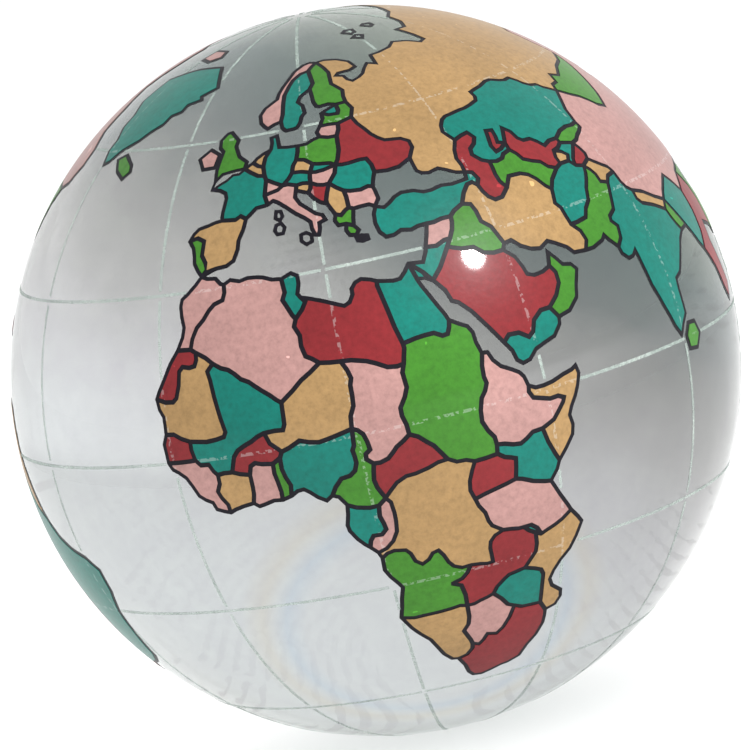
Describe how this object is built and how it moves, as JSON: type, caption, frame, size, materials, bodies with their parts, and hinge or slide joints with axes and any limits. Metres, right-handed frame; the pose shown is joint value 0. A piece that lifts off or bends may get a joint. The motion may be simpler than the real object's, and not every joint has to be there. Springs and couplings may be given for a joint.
{
  "type": "stress ball",
  "caption": "Clear solid squeeze ball printed on the outside with a coloured political map of the world and faint latitude and longitude lines.",
  "frame": {"origin": "centre of the ball", "axes": "+Z through the north end of the printed latitude and longitude lines, -Y through their prime meridian, +X east of it"},
  "size_m": [0.0631, 0.0631, 0.0629],
  "materials": {
    "clear_elastomer": "gloss",
    "black_ink": "satin",
    "frosted_grid_ink": "matte",
    "teal_ink": "satin",
    "green_ink": "satin",
    "sand_ink": "satin",
    "pink_ink": "satin",
    "red_ink": "satin"
  },
  "bodies": {
    "root": {"clear_ball": "clear_elastomer", "grid_meridians": "frosted_grid_ink", "grid_parallels": "frosted_grid_ink", "ink_green_africa": "green_ink", "ink_green_america": "green_ink", "ink_green_arctic": "green_ink", "ink_green_asia": "green_ink", "ink_green_europe": "green_ink", "ink_green_pacific": "green_ink", "ink_pink_africa": "pink_ink", "ink_pink_america": "pink_ink", "ink_pink_arctic": "pink_ink", "ink_pink_asia": "pink_ink", "ink_pink_europe": "pink_ink", "ink_pink_pacific": "pink_ink", "ink_red_africa": "red_ink", "ink_red_america": "red_ink", "ink_red_asia": "red_ink", "ink_red_europe": "red_ink", "ink_red_pacific": "red_ink", "ink_sand_africa": "sand_ink", "ink_sand_america": "sand_ink", "ink_sand_asia": "sand_ink", "ink_sand_europe": "sand_ink", "ink_sand_pacific": "sand_ink", "ink_teal_africa": "teal_ink", "ink_teal_america": "teal_ink", "ink_teal_arctic": "teal_ink", "ink_teal_asia": "teal_ink", "ink_teal_europe": "teal_ink", "keyline_islands": "black_ink", "keyline_new_world": "black_ink", "keyline_old_world": "black_ink"}
  },
  "joints": []
}
